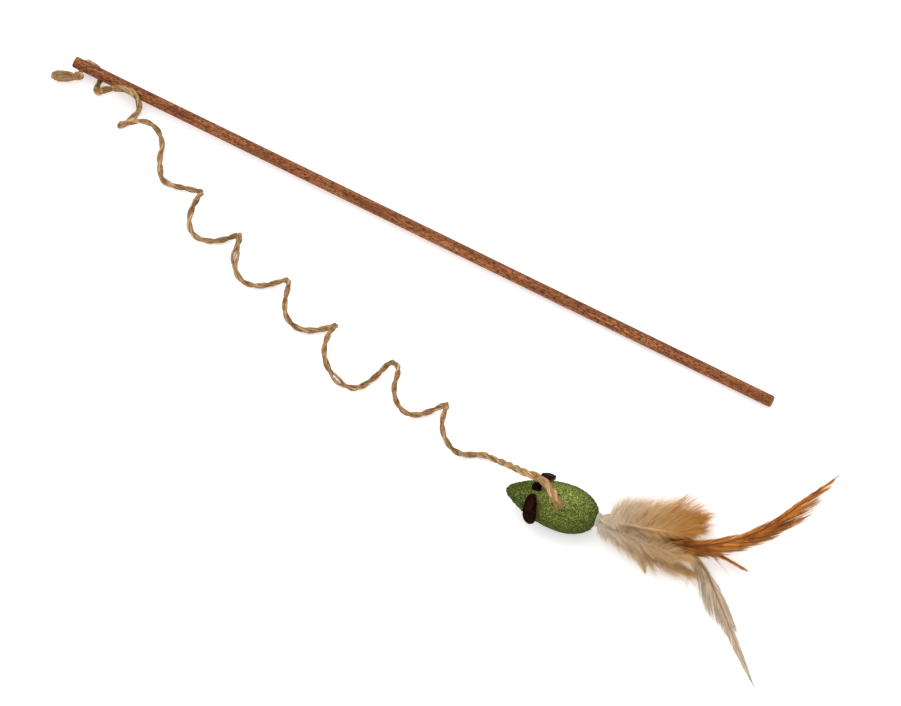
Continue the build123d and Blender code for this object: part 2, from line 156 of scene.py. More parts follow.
# Cords that the twine is cut into: two bodies, their joint, the twine's heading there, and the nodes replaced
cords = {
    "twine_at_tip": ("wand", "lead", "twine_swing", (0.9, -0.43, 0), ["twine_hitch"]),
    "twine_first_half": ("lead", "curls", "twine_lift", (1, 0, 0), ["twine_lead"]),
    "twine_second_half": ("curls", "drop", "mouse_turn", (1, 0, 0), ["twine_curls"]),
    "twine_at_mouse": ("drop", "mouse", "mouse_nod", (0.9, -0.1, 0.42), ["twine_drop", "twine_end"]),
}

# Stopper knot: a small overhand loop
knot_centre = Vector((-0.2584, 0.0697, 0.0066))
knot_spread = 0.00068
knot_depth = 0.0008
knot_size = 0.84
knot_steps = 30

# Frayed tuft beyond the knot
tuft_root = Vector((-0.2573, 0.0693, 0.0061))
tuft_heading = Vector((-1, -0.4, -0.08))
tuft_spread = Vector((0.4, -1, 0))
tuft = dict(count=460, length=0.0168, neck_r=0.0016, end_r=0.0031, ragged=0.16, flat=1.0, thick=0.00017)

# Frayed end on the mouse's back, and the hairs round it
fray_back = 0.0045
fray = dict(count=340, length=0.0088, neck_r=0.0019, end_r=0.0027, ragged=0.6, flat=0.35, thick=0.0001)
hair_count = 44
hair_reach = 0.01
hair_lengths = (0.002, 0.0065)
hair_lift = 0.0013
hair_gap = 0.00015
hair_r = 0.0002
brush_floor = 0.0002
brush_steps = 8
brush_waver = (0.2, 0.4)

# Mouse, in its own frame: from the nose along the spine, across to its right, and up
nose = Vector((0.0893, -0.0507, 0))
mouse_heading = radians(7.8)
mouse_r = 0.0142
nose_r = 0.0042
nose_length = 0.0029
widest_at = 0.036
rear_length = 0.0203
mouse_length = widest_at + rear_length
belly_flat = 0.0005
spine_height = mouse_r - belly_flat
lump_height = 0.00018
coarse_grain = 0.00009
fine_grain = 0.00007
surface_sink = 0.0002

# Leaf flakes on the mouse
flake_count = 5200
flakes_end = 0.054
flakes_floor = 0.001
flake_sinks = (-0.00036, -0.00011)
flake_sizes = [(0.0004, 0.0012), (0.00025, 0.0005), (0.0001, 0.0003)]
flake_tilt = 0.3

# Ears, and the middle of their strip: the near ear follows the head and the far one stands off it
ear_at = 0.0206
ear_stagger = 0.0002
ear_width = 0.008
ear_length = 0.0194
ear_thickness = 0.0013
ear_clearance = 0.0006
ear_tilt = radians(64)
ear_root = {-1: 0.0024, 1: 0.0}
far_ear_slope = radians(45.5)
far_ear_droop = radians(16)
near_ear_sweep = 0.0025
near_ear_taper = 0.3
near_ear_lean = 0.0012
ear_ripple = 0.0003
ear_side_cup = 0.0006
ear_end_cup = 0.0012
bridge_at = 0.0183
bridge_width = 0.0042
bridge_middle = radians(10)
bridge_half_angle = radians(8.5)
bridge_stand = 0.0007
bridge_end_drop = 0.0012
bridge_side_drop = 0.0006
bridge_lumps = 0.0003

# Glue collar: from the nose, and radius
collar_outline = [
    (0.0535, 0.0024), (0.055, 0.0038), (0.0562, 0.0041),
    (0.0572, 0.0037), (0.058, 0.003), (0.0586, 0.0022),
]
collar_lumps = 0.0006

# Tail
tail_heading = radians(12)
quill_reach = 0.0015
quill_pitch_up = 0.0009
quill_r = 0.0004
shaft_r = 0.00042
shaft_foot = 0.005
shaft_foot_r = 0.00045
shaft_steps = 60
vane_barb_r = 0.00017
shortest_barb = 0.002
barb_step = 0.0005
barbs_in_vane_lock = 11
down_barb_r = 0.00011
stray_barb_r = 0.00012
barb_sag = 8.0
barb_floor = 0.0003
down_ring = 0.003
down_bend = radians(8)
down_foot = 0.0055
down_locks = 230
barbs_in_down_lock = 5
neck_barbs = 90
neck_lengths = (0.008, 0.015)

# Long feathers from the lowest up: tilt, first turn, bend, its stretch, length, and the vane's begin, leans,
# barbs, shortest lock and finish
long_feathers = {
    "cream_plume": (-5.2, -1.5, -51.5, (0.29, 0.48), 0.1422, 0.29, (17, 9), 620, 0.88, "cream_feather"),
    "hackle_short": (-3.0, 12.0, -30.0, (0, 1), 0.0857, 0.36, (16, 8), 420, 0.76, "brown_feather"),
    "hackle_third": (-1.4, -19.0, 46.0, (0, 0.75), 0.0932, 0.28, (15, 8), 420, 0.76, "brown_feather"),
    "hackle_second": (0.0, -15.0, 58.0, (0.05, 0.78), 0.1249, 0.24, (14, 8), 480, 0.76, "brown_feather"),
    "hackle_long": (1.4, -20.0, 76.0, (0, 0.73), 0.1503, 0.22, (13, 7), 540, 0.76, "brown_feather"),
}

# Half widths of each vane, on its lower and upper side: share of the vane's length, and width
vane_outlines = {
    "cream_plume": (
        [(0, 0.009), (0.24, 0.011), (0.4, 0.0105), (0.48, 0.0078),
         (0.58, 0.0045), (0.71, 0.0028), (0.86, 0.0018), (1, 0.0002)],
        [(0, 0.0012), (0.29, 0.0014), (0.37, 0.0034), (0.5, 0.0042),
         (0.62, 0.0038), (0.67, 0.0017), (0.85, 0.0013), (1, 0.0002)],
    ),
    "hackle_short": (
        [(0, 0.005), (0.53, 0.0046), (0.66, 0.0034), (0.72, 0.0012), (0.95, 0.0012), (1, 0.0006)],
        [(0, 0.004), (0.53, 0.0032), (0.68, 0.0018), (0.73, 0.001), (0.95, 0.001), (1, 0.0006)],
    ),
    "hackle_third": (
        [(0, 0.0055), (0.5, 0.0046), (0.8, 0.0026), (1, 0.0002)],
        [(0, 0.0045), (0.6, 0.0036), (0.8, 0.0024), (1, 0.0002)],
    ),
    "hackle_second": (
        [(0, 0.0055), (0.4, 0.0052), (0.7, 0.0044), (0.85, 0.0026), (1, 0.0002)],
        [(0, 0.005), (0.5, 0.0046), (0.8, 0.004), (0.88, 0.0018), (1, 0.0002)],
    ),
    "hackle_long": (
        [(0, 0.005), (0.4, 0.0056), (0.66, 0.0062), (0.8, 0.006), (0.88, 0.005), (1, 0.0003)],
        [(0, 0.005), (0.3, 0.0042), (0.6, 0.003), (0.85, 0.0016), (1, 0.0003)],
    ),
}

# Down feathers round the quills: place round the tail, flare, length, barbs' reach on each side and finish
down_feathers = {
    "down_upper_left": (30.0, 11.0, 0.056, (0.01, 0.026), "golden_down"),
    "down_top": (90.0, 11.0, 0.054, (0.011, 0.024), "golden_down"),
    "down_upper_right": (150.0, 11.0, 0.057, (0.015, 0.011), "pale_down"),
    "down_lower_right": (210.0, 12.0, 0.06, (0.0155, 0.01), "pale_down"),
    "down_bottom": (270.0, 8.5, 0.055, (0.0145, 0.017), "pale_down"),
    "down_lower_left": (330.0, 11.0, 0.054, (0.01, 0.025), "golden_down"),
}

# Fluff on the lower and upper side: where it begins, its barbs' lean at root and end, and how full it is
fluff_sides = [(-1, 0.0, radians(58), radians(32)), (1, 0.12, radians(97), radians(44))]
fluff_fullness = {
    -1: [(0, 0.66), (0.5, 1.0), (1, 0.7)],
    1: [(0, 0.7), (0.2, 0.76), (0.7, 1.0), (1, 0.52)],
}

# Barbs that stand out of the tail's outline: feather, where on its shaft, over how much, how many, end
stray_barbs = [
    ("down_lower_left", 0.32, 0.1, 120, (0.1829, -0.0558, 0.003)),
    ("down_lower_right", 0.97, 0.03, 5, (0.2088, -0.0537, 0.002)),
    ("hackle_short", 0.66, 0.02, 4, (0.2283, -0.0218, 0.0075)),
    ("hackle_short", 0.64, 0.02, 5, (0.2324, -0.0319, 0.007)),
    ("hackle_short", 0.62, 0.02, 4, (0.2304, -0.0367, 0.007)),
]


class Finish:
    """A node material, with short calls that add and join its nodes."""

    def __init__(self, name, roughness, shine=0.5, **settings):
        self.material = bpy.data.materials.new(name)
        self.material.use_nodes = True
        self.tree = self.material.node_tree
        self.shader = self.tree.nodes["Principled BSDF"]
        self.shader.inputs["Roughness"].default_value = roughness
        self.shader.inputs["Specular IOR Level"].default_value = shine
        for socket, value in settings.items():
            self.shader.inputs[socket.replace("_", " ")].default_value = value

    def node(self, kind, inputs=None, **settings):
        node = self.tree.nodes.new(kind)
        for name, value in settings.items():
            setattr(node, name, value)
        for socket, value in (inputs or {}).items():
            if isinstance(value, bpy.types.NodeSocket):
                self.tree.links.new(value, node.inputs[socket])
            else:
                node.inputs[socket].default_value = value
        return node

    def coords(self, stretch=(1, 1, 1), kind="Object"):
        """Coordinates, stretched: the object's, or the UV map, where U runs along a strand."""
        place = self.node("ShaderNodeTexCoord").outputs[kind]
        return self.node("ShaderNodeMapping", {"Vector": place, "Scale": stretch}).outputs["Vector"]

    def grain(self, vector, scale, detail=3.0, roughness=0.55):
        inputs = {"Vector": vector, "Scale": scale, "Detail": detail, "Roughness": roughness}
        return self.node("ShaderNodeTexNoise", inputs).outputs["Fac"]

    def ramp(self, value, *stops):
        """Colours by value: each stop is (place, (r, g, b))."""
        node = self.node("ShaderNodeValToRGB", {"Fac": value})
        while len(node.color_ramp.elements) < len(stops):
            node.color_ramp.elements.new(0.5)
        for element, (place, colour) in zip(node.color_ramp.elements, stops):
            element.position = place
            element.color = (*colour, 1)
        return node.outputs["Color"]

    def mask(self, value, begin, end, most):
        """Nothing up to one value, and from there to a share of white at another."""
        return self.ramp(value, (begin, (0, 0, 0)), (end, (most, most, most)))

    def mix(self, share, first, second, blend="MIX"):
        inputs = {0: share}
        for socket, value in ((6, first), (7, second)):
            inputs[socket] = value if isinstance(value, bpy.types.NodeSocket) else (*value, 1)
        return self.node("ShaderNodeMix", inputs, data_type="RGBA", blend_type=blend).outputs[2]

    def colour(self, value):
        self.tree.links.new(value, self.shader.inputs["Base Color"])

    def rough(self, value, low, high):
        inputs = {"Value": value, "To Min": low, "To Max": high}
        ranged = self.node("ShaderNodeMapRange", inputs).outputs["Result"]
        self.tree.links.new(ranged, self.shader.inputs["Roughness"])

    def bump(self, height, distance, strength):
        inputs = {"Height": height, "Distance": distance, "Strength": strength}
        normal = self.node("ShaderNodeBump", inputs).outputs["Normal"]
        self.tree.links.new(normal, self.shader.inputs["Normal"])

    def island(self):
        """A number from 0 to 1 that is the same over one loose part of the mesh."""
        return self.node("ShaderNodeNewGeometry").outputs["Random Per Island"]

    def share_along(self, begin, direction, length):
        """How far a place is along a line, as a share of its length."""
        place = self.node("ShaderNodeTexCoord").outputs["Object"]
        inputs = {0: place, 1: tuple(begin)}
        apart = self.node("ShaderNodeVectorMath", inputs, operation="SUBTRACT").outputs["Vector"]
        inputs = {0: apart, 1: tuple(direction)}
        far = self.node("ShaderNodeVectorMath", inputs, operation="DOT_PRODUCT").outputs["Value"]
        return self.node("ShaderNodeMapRange", {"Value": far, "From Max": length}).outputs["Result"]


def stained_wood():
    finish = Finish("stained_wood", 0.55, 0.22)
    streaks = finish.grain(finish.coords((24, 520, 520)), 1.0, 5.0, 0.62)
    flecks = finish.grain(finish.coords((480, 2000, 2000)), 1.0, 2.0, 0.6)
    patches = finish.grain(finish.coords((35, 90, 90)), 1.0)
    tone = finish.ramp(
        streaks,
        (0.3, (0.16, 0.04, 0.01)), (0.5, (0.32, 0.097, 0.026)), (0.72, (0.62, 0.24, 0.076)),
    )
    tone = finish.mix(finish.mask(patches, 0.4, 0.75, 0.4), tone, (0.44, 0.16, 0.056))
    finish.colour(finish.mix(finish.mask(flecks, 0.46, 0.58, 0.95), tone, (0.056, 0.014, 0.004)))
    finish.rough(streaks, 0.45, 0.68)
    finish.bump(flecks, 0.0002, 0.35)
    return finish.material


def jute(name, gap_shade):
    """Twine or its loose fibres, with painted shade in the gaps between them, darkest where the occlusion node
    finds them hidden.
    """
    finish = Finish(name, 0.9, 0.1)
    fibres = finish.grain(finish.coords((90, 5, 1), "UV"), 1.0, 3.0)
    drift = finish.grain(finish.coords(), 190.0, 2.0)
    yarn = finish.ramp(
        finish.island(),
        (0.0, (0.1, 0.036, 0.009)), (0.3, (0.36, 0.168, 0.055)),
        (0.7, (0.65, 0.37, 0.155)), (1.0, (0.96, 0.69, 0.38)),
    )
    worn = finish.mix(finish.mask(fibres, 0.42, 0.68, 0.8), yarn, (0.9, 0.615, 0.32))
    soiled = finish.mix(finish.mask(drift, 0.46, 0.68, 0.65), worn, (0.23, 0.092, 0.026))
    # Painted shade: the gaps between yarns take a dark colour where the occlusion node finds them enclosed.
    unshaded_share = finish.node("ShaderNodeAmbientOcclusion", {"Distance": 0.0014}).outputs["AO"]
    finish.colour(finish.mix(unshaded_share, gap_shade, soiled))
    finish.bump(fibres, 0.0002, 0.5)
    return finish.material


def catnip():
    finish = Finish("catnip", 0.95, 0.08)
    place = finish.coords()
    crumbs = finish.node("ShaderNodeTexVoronoi", {"Vector": place, "Scale": 1900.0}).outputs["Color"]
    leaf = finish.ramp(
        crumbs, (0.1, (0.024, 0.036, 0.006)), (0.42, (0.085, 0.115, 0.02)),
        (0.66, (0.17, 0.21, 0.042)), (0.92, (0.38, 0.41, 0.12)),
    )
    dust = finish.grain(place, 2400.0, 3.0)
    leaf = finish.mix(finish.mask(dust, 0.45, 0.75, 0.5), leaf, (0.215, 0.258, 0.06))
    # Painted light and shade by height, lit on the back and shaded towards the belly.
    finish.colour(shade_by_height(finish, leaf))
    finish.bump(finish.grain(place, 1500.0, 5.0), 0.0005, 0.9)
    return finish.material


def shade_by_height(finish, leaf):
    """Leaf with painted light and shade: lighter on the mouse's back, and darker and greener towards its
    belly.
    """
    # Painted light and shade: the leaf is multiplied darker low on the mouse and lighter on its back, as if
    # lit from above.
    height = finish.share_along((0, 0, 0), up, 0.028)
    height_shading = finish.ramp(
        height,
        (0.15, (0.36, 0.38, 0.24)), (0.6, (0.5, 0.51, 0.4)),
        (0.85, (0.95, 0.94, 0.88)), (1.0, (1.46, 1.42, 1.46)),
    )
    return finish.mix(1.0, leaf, height_shading, "MULTIPLY")


def catnip_flake():
    finish = Finish("catnip_flake", 0.9, 0.1)
    leaf = finish.ramp(
        finish.island(),
        (0.0, (0.018, 0.028, 0.005)), (0.3, (0.07, 0.098, 0.016)), (0.62, (0.16, 0.205, 0.04)),
        (0.86, (0.34, 0.38, 0.095)), (1.0, (0.58, 0.57, 0.22)),
    )
    veins = finish.grain(finish.coords(), 2600.0, 2.0)
    leaf = finish.mix(finish.mask(veins, 0.4, 0.7, 0.4), leaf, (0.09, 0.118, 0.024))
    finish.colour(shade_by_height(finish, leaf))
    return finish.material


def suede(name, dark, light, worn):
    """Napped leather that is rubbed in places."""
    finish = Finish(name, 0.95, 0.05)
    nap = finish.grain(finish.coords(), 1400.0, 4.0)
    rubbed = finish.grain(finish.coords(), 240.0, 3.0)
    tone = finish.ramp(nap, (0.35, dark), (0.65, light))
    finish.colour(finish.mix(finish.mask(rubbed, 0.48, 0.7, 0.6), tone, worn))
    finish.bump(nap, 0.00025, 0.7)
    return finish.material


def mottled(name, roughness, scale, low, high, depth, strength, **settings):
    """A plain stuff, whose colour and relief follow one grain."""
    finish = Finish(name, roughness, **settings)
    clouds = finish.grain(finish.coords(), scale, 3.0)
    finish.colour(finish.ramp(clouds, low, high))
    finish.bump(clouds, depth, strength)
    return finish.material


def cut_leather():
    dark, light = (0.35, (0.06, 0.028, 0.018)), (0.65, (0.16, 0.09, 0.06))
    return mottled("cut_leather", 0.85, 1800.0, dark, light, 0.0002, 0.6, shine=0.15)


def hot_glue():
    dull, pale = (0.3, (0.36, 0.37, 0.34)), (0.7, (0.56, 0.56, 0.51))
    settings = {"Subsurface_Weight": 0.3, "Subsurface_Scale": 0.002}
    return mottled("hot_glue", 0.35, 500.0, dull, pale, 0.0004, 0.4, **settings)


def down_plumage(name, root, middle, end):
    """Fluff: pale at the tail's root, warmer further out, and with painted shade in the crease between tufts.
    """
    finish = Finish(name, 0.75, 0.12)
    outwards = finish.share_along(quill_end, tail_dir, 0.075)
    tone = finish.ramp(outwards, (0.04, root), (0.38, middle), (0.7, end))
    barb = finish.ramp(
        finish.island(), (0.0, (0.8, 0.78, 0.74)), (0.5, (1.0, 1.0, 1.0)), (1.0, (1.14, 1.15, 1.16)),
    )
    tone = finish.mix(1.0, tone, barb, "MULTIPLY")
    shade = finish.grain(finish.coords(), 110.0, 2.0)
    tone = finish.mix(finish.mask(shade, 0.54, 0.74, 0.3), tone, (0.46, 0.27, 0.11))
    # Painted shade: dark brown where the crease between the upper and lower fluff lies, across the tail and
    # over a stretch out from the root.
    aside = finish.share_along(quill_end - tail_side * 0.008, tail_side, 0.01)
    crease_shade_across = finish.ramp(aside, (0.22, (0, 0, 0)), (0.46, (0.6, 0.6, 0.6)), (0.66, (0, 0, 0)))
    stretch = finish.ramp(
        outwards, (0.06, (0, 0, 0)), (0.14, (1, 1, 1)), (0.3, (1, 1, 1)), (0.5, (0, 0, 0)),
    )
    finish.colour(finish.mix(finish.mix(1.0, crease_shade_across, stretch, "MULTIPLY"), tone, (0.26, 0.135, 0.055)))
    return finish.material


def hackle_plumage(name, shaft, dark, middle, light, tip):
    """Streaked barbs: each its own tone, dark beside the shaft and paler at its end."""
    finish = Finish(name, 0.6, 0.18)
    place = finish.node("ShaderNodeTexCoord").outputs["UV"]
    along = finish.node("ShaderNodeSeparateXYZ", {"Vector": place}).outputs["X"]
    barb = finish.ramp(finish.island(), (0.0, dark), (0.35, middle), (0.85, light))
    ends = finish.mask(along, 0.45, 1.0, 0.75)
    roots = finish.ramp(along, (0.02, (0.75, 0.75, 0.75)), (0.2, (0, 0, 0)))
    bands = finish.mask(finish.grain(finish.coords(), 130.0, 2.0), 0.46, 0.64, 0.6)
    streaked = finish.mix(bands, finish.mix(ends, barb, tip), dark)
    finish.colour(finish.mix(roots, streaked, shaft))
    return finish.material


def quill(name, dark, light):
    finish = Finish(name, 0.4)
    finish.colour(finish.ramp(finish.grain(finish.coords((30, 4, 1), "UV"), 1.0), (0.3, dark), (0.7, light)))
    return finish.material


def white_floor():
    settings = {"Base_Color": (0.93, 0.93, 0.93, 1), "Emission_Color": (1, 1, 1, 1)}
    return Finish("white_floor", 0.9, 0.1, Emission_Strength=floor_glow, **settings).material


def put(name, data, material, body, slot, *replaced):
    """A finished piece, of a mesh or of strands: with its finish, on its body and in place of CAD nodes."""
    if isinstance(data, list):
        data = strand_mesh(name, data)
    piece = bpy.data.objects.new(name, data)
    bpy.context.scene.collection.objects.link(piece)
    for one in material if isinstance(material, list) else [material]:
        data.materials.append(one)
    if isinstance(body, str):
        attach(piece, body)
    if replaced:
        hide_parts(*replaced)
    return piece


def from_bmesh(bm, name, smooth=True):
    mesh = bpy.data.meshes.new(name)
    bm.to_mesh(mesh)
    bm.free()
    if smooth:
        mesh.shade_smooth()
    return mesh


def mesh_of(curve):
    holder = bpy.data.objects.new("holder", curve)
    mesh = bpy.data.meshes.new_from_object(holder)
    bpy.data.objects.remove(holder)
    return mesh


def strand_mesh(name, strands):
    """One mesh of thin closed tubes, from lists of (place, radius)."""
    curve = bpy.data.curves.new(name, "CURVE")
    curve.dimensions = "3D"
    curve.bevel_depth = 1.0
    curve.bevel_resolution = 0
    curve.use_fill_caps = True
    for strand in strands:
        spline = curve.splines.new("POLY")
        spline.points.add(len(strand) - 1)
        spline.points.foreach_set("co", [value for place, radius in strand for value in (*place, 1)])
        spline.points.foreach_set("radius", [radius for place, radius in strand])
    bm = bmesh.new()
    bm.from_mesh(mesh_of(curve))
    bmesh.ops.remove_doubles(bm, verts=bm.verts, dist=1e-6)
    return from_bmesh(bm, name)


def smooth_route(points):
    """Places along the NURBS spline that has the route's points, a small step apart."""
    curve = bpy.data.curves.new("route", "CURVE")
    curve.dimensions = "3D"
    spline = curve.splines.new("NURBS")
    spline.points.add(len(points) - 1)
    for control, point in zip(spline.points, points):
        control.co = (*point, 1)
    spline.order_u = 3
    spline.use_endpoint_u = True
    spline.resolution_u = 32
    places = [Vector(vertex.co) for vertex in mesh_of(curve).vertices]
    kept = places[:1]
    for place in places[1:]:
        if (place - kept[-1]).length >= sample_step:
            kept.append(place)
    return kept


def frames_along(places, side):
    """For each place: how far along it is, itself, the way ahead, and two steady directions across."""
    frames = []
    travelled = 0.0
    for before, place, after in zip([places[0]] + places, places, places[1:] + places[-1:]):
        ahead = (after - before).normalized()
        side = (side - ahead * side.dot(ahead)).normalized()
        travelled += (place - before).length
        frames.append((travelled, place, ahead, side, ahead.cross(side)))
    return frames


def wander(along, seed, waver):
    """A smooth random value, of about the waver's share either way, that changes over its length."""
    share, period = waver
    return share * noise.noise(Vector((along / period, seed * 7.31, seed * 1.93)))


def between(pairs, value):
    """A value on straight lines between (place, value) pairs, and level beyond them."""
    for (start, low), (end, high) in zip(pairs, pairs[1:]):
        if value < end:
            return low + (high - low) * max(0, value - start) / (end - start)
    return pairs[-1][1]


def ply_turns(frames, openings, parted):
    """How far the plies have turned at each place: slower where they part, and level in each eyelet."""
    turns = [0.0]
    for (before, *_), (after, *_), opening in zip(frames, frames[1:], openings):
        turns.append(turns[-1] + tau * (after - before) / ply_pitch * (1 - 0.75 * min(1, opening)))
    shifts = [(0.0, 0.0)]
    for index in parted:
        travelled, _, ahead, side, other = frames[index]
        level = ahead.cross(up)
        wanted = atan2(level.dot(other), level.dot(side))
        shifts.append((travelled, (wanted - turns[index] + pi / 2) % pi - pi / 2))
    return [turn + between(shifts, travelled) for turn, (travelled, *_) in zip(turns, frames)]


def twine_yarns(frames, turns, sizes, openings):
    """The yarns of a twine: two plies wound round each other, each with its yarns round a core."""
    yarns = []
    for ply in range(2):
        for yarn in range(yarn_count + 1):
            strand = []
            for here, turned, size, opening in zip(frames, turns, sizes, openings):
                travelled, place, _, side, other = here
                turn = turned + pi * ply
                parted = 1 + wander(travelled, 2, ply_waver) + opening
                centre = place + (side * cos(turn) + other * sin(turn)) * (ply_offset * parted * size)
                slim = 1 - 0.3 * min(1, opening)
                if yarn == yarn_count:
                    centre.z = max(centre.z, core_r * size * slim + floor_gap)
                    strand.append((centre, core_r * size * slim))
                    continue
                spin = turn - tau * travelled / yarn_pitch + tau * yarn / yarn_count
                stand = yarn_offset * size * slim * (1 + wander(travelled, 3 + yarn + 20 * ply, yarn_waver))
                spot = centre + (side * cos(spin) + other * sin(spin)) * stand
                thick = yarn_r * size * slim * (1 + wander(travelled, 50 + yarn + 20 * ply, thick_waver))
                spot.z = max(spot.z, thick + floor_gap)
                strand.append((spot, thick))
            yarns.append(strand)
    return yarns


def loose_fibre(rng, frames, turns, sizes, begin, end, onward, lift):
    """One fibre that leaves a ply's surface, follows it and stands off it."""
    root = rng.randint(begin, end)
    steps = rng.choice((-1, 1)) * onward / sample_step
    ply = rng.choice((0, pi))
    angle = rng.uniform(0, tau)
    drift = rng.uniform(-1.0, 1.0)
    strand = []
    for share in fibre_shares:
        here = min(max(root + round(steps * share), begin), end)
        travelled, place, _, side, other = frames[here]
        turn = turns[here] + ply
        spin = turn - tau * travelled / yarn_pitch + angle + drift * share
        stand = (yarn_offset + yarn_r * 0.9) * sizes[here] + lift * share**1.5
        spot = place + (side * cos(turn) + other * sin(turn)) * (ply_offset * sizes[here])
        spot += (side * cos(spin) + other * sin(spin)) * stand
        spot.z = max(spot.z, fibre_r + floor_gap)
        if not strand or (spot - strand[-1][0]).length > fibre_r:
            strand.append((spot, fibre_r * (1.25 - 0.8 * share)))
    return strand


def curl_place(cusps, reaches, rises, side, turns):
    """A place on a curl, which climbs from a cusp, crosses over, comes down and returns along the floor."""
    curl = min(int(turns), len(reaches) - 1)
    angle = tau * (turns - curl)
    begin = Vector((*cusps[curl], 0))
    pitch = Vector((*cusps[curl + 1], 0)) - begin
    across = pitch.normalized().cross(up) * (side * reaches[curl] / 2)
    neighbour = curl - 1 if angle < pi else curl + 1
    rise = rises[curl]
    if cos(angle) > 0:
        rise += (rises[min(max(neighbour, 0), len(rises) - 1)] - rise) * cos(angle) ** 2 / 2
    place = begin + pitch * ((angle - cusp_pinch * sin(angle)) / tau)
    return place + across * (1 - cos(angle)) + up * (twine_r + rise / 2 * (1 + sin(angle)))


def curls(cusps, reaches, rises, side, turns, bends):
    """The route through a run of curls, with its listed bends."""
    count = round(turns * points_per_turn)
    places = []
    for step in range(count + 1):
        now = turns * step / count
        place = curl_place(cusps, reaches, rises, side, now)
        for turn, spread, aside_x, aside_y in bends:
            place += Vector((aside_x, aside_y, 0)) * exp(-((now - turn) / spread) ** 2)
        places.append(place)
    return places


spine = Vector((cos(mouse_heading), sin(mouse_heading), 0))
rightward = up.cross(spine)
spine_foot = nose + up * spine_height


def on_mouse(from_nose, across, height):
    return nose + spine * from_nose + rightward * across + up * height


def nearest(frames, place):
    return min(range(len(frames)), key=lambda index: (frames[index][1] - place).length)


def at_turn(frames, run, turn):
    return nearest(frames, run[round(turn * points_per_turn)])


def lay_twine(finish, loose_finish):
    """The whole twine on one spline, cut into four cords that each cross one joint."""
    first = curls(first_cusps, first_reaches, first_rises, -1, first_turns, first_bends)
    main = curls(main_cusps, main_reaches, main_rises, 1, main_turns, main_bends)
    route = [*map(Vector, hitch_points), *first, *map(Vector, lead_points), *main, *map(Vector, drop_points)]
    route += [on_mouse(*point) for point in back_points]
    frames = frames_along(smooth_route(route), up)
    parted = [(at_turn(frames, main, turn), reach, wide) for turn, reach, wide in eyelets]
    slack = [(at_turn(frames, first, turn), reach, more) for turn, reach, more in slack_places]
    whole = frames[-1][0]
    openings = []
    sizes = []
    for travelled, *_ in frames:
        opened = sum(wide * exp(-((travelled - frames[at][0]) / reach) ** 4) for at, reach, wide in parted)
        openings.append(opened)
        loosened = max(0, 1 - (whole - travelled) / loose_end) * (loose_size - 1)
        slackened = sum(more * exp(-((travelled - frames[at][0]) / reach) ** 2) for at, reach, more in slack)
        size = 1 + loosened + slackened + wander(travelled, 90, size_waver)
        sizes.append(size * (1 - (1 - cut_size) * max(0, 1 - (whole - travelled) / cut_taper)))
    turns = ply_turns(frames, openings, [at for at, reach, wide in parted])
    yarns = twine_yarns(frames, turns, sizes, openings)
    ends = [0, at_turn(frames, first, 1.5), at_turn(frames, main, 3.0)]
    ends += [nearest(frames, Vector(drop_points[2])), len(frames) - 1]
    rng = Random(11)
    for name, begin, end in zip(cords, ends, ends[1:]):
        body, next_body, joint, heading, replaced = cords[name]
        strands = [strand[begin:end + 1] for strand in yarns]
        length = frames[end][0] - frames[begin][0]
        for per_metre, reaches, lifts in (lying_fibres, standing_fibres):
            for _ in range(round(length * per_metre)):
                onward = rng.uniform(*reaches)
                lift = rng.uniform(*lifts)
                strands.append(loose_fibre(rng, frames, turns, sizes, begin, end, onward, lift))
        cord_finish = loose_finish if next_body == "mouse" else finish
        piece = put(name, strands, cord_finish, None, "jute", *replaced)
        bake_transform(piece)
    return frames


def brush(rng, root, heading, spread, count, length, neck_r, end_r, ragged, flat, thick):
    """Fibres that leave a neck together and swell to a ragged end, round or flat."""
    ahead = heading.normalized()
    side = spread.normalized()
    other = ahead.cross(side)
    strands = []
    for _ in range(count):
        angle = rng.uniform(0, tau)
        reach = sqrt(rng.random())
        whole = length * (1 - 0.18 * reach**3) * rng.uniform(1 - ragged, 1.06)
        phase = rng.random() * 40
        strand = []
        for step in range(brush_steps + 1):
            share = step / brush_steps
            swell = 0.5 - 0.5 * cos(pi * min(1, max(0, (share - 0.15) / 0.6)))
            radius = neck_r + (end_r - neck_r) * swell
            wave = radius * wander(share, phase, brush_waver)
            out = side * cos(angle) + other * (sin(angle) * (1 - (1 - flat) * share))
            spot = root + ahead * (whole * share) + out * (radius * reach + wave)
            spot.z = max(spot.z, brush_floor)
            strand.append((spot, thick * (1.2 - 0.5 * share)))
        strands.append(strand)
    return strands


def tie_knot(finish, loose_finish):
    """Overhand stopper knot in front of the rod, and the frayed tuft beyond it."""
    loop = []
    for step in range(knot_steps + 1):
        turn = tau * step / knot_steps
        aside = knot_spread * (sin(turn) + 2 * sin(2 * turn))
        high = knot_spread * (cos(turn) - 2 * cos(2 * turn))
        loop.append(knot_centre + Vector((aside, -knot_depth * sin(3 * turn), high)))
    frames = frames_along(smooth_route(loop), up)
    closed = [0.0] * len(frames)
    yarns = twine_yarns(frames, ply_turns(frames, closed, []), [knot_size] * len(frames), closed)
    put("knot_strands", yarns, finish, "wand", "jute", "stopper_knot")
    fibres = brush(Random(5), tuft_root, tuft_heading, tuft_spread, **tuft)
    put("tuft_fibres", fibres, loose_finish, "wand", "jute", "knot_tuft")


def flank_r(from_nose):
    """The mouse's radius at a distance from its nose."""
    flank_length = widest_at - nose_length
    drop = mouse_r - nose_r
    bow = (flank_length**2 + drop**2) / (2 * drop)
    if from_nose < nose_length:
        slope = flank_length / sqrt(bow**2 - flank_length**2)
        share = from_nose / nose_length
        return 2 * (nose_r - slope * nose_length) * sqrt(share) + (2 * slope * nose_length - nose_r) * share
    if from_nose < widest_at:
        return mouse_r - bow + sqrt(bow**2 - (widest_at - from_nose) ** 2)
    return mouse_r * sqrt(max(0, 1 - ((from_nose - widest_at) / rear_length) ** 2))


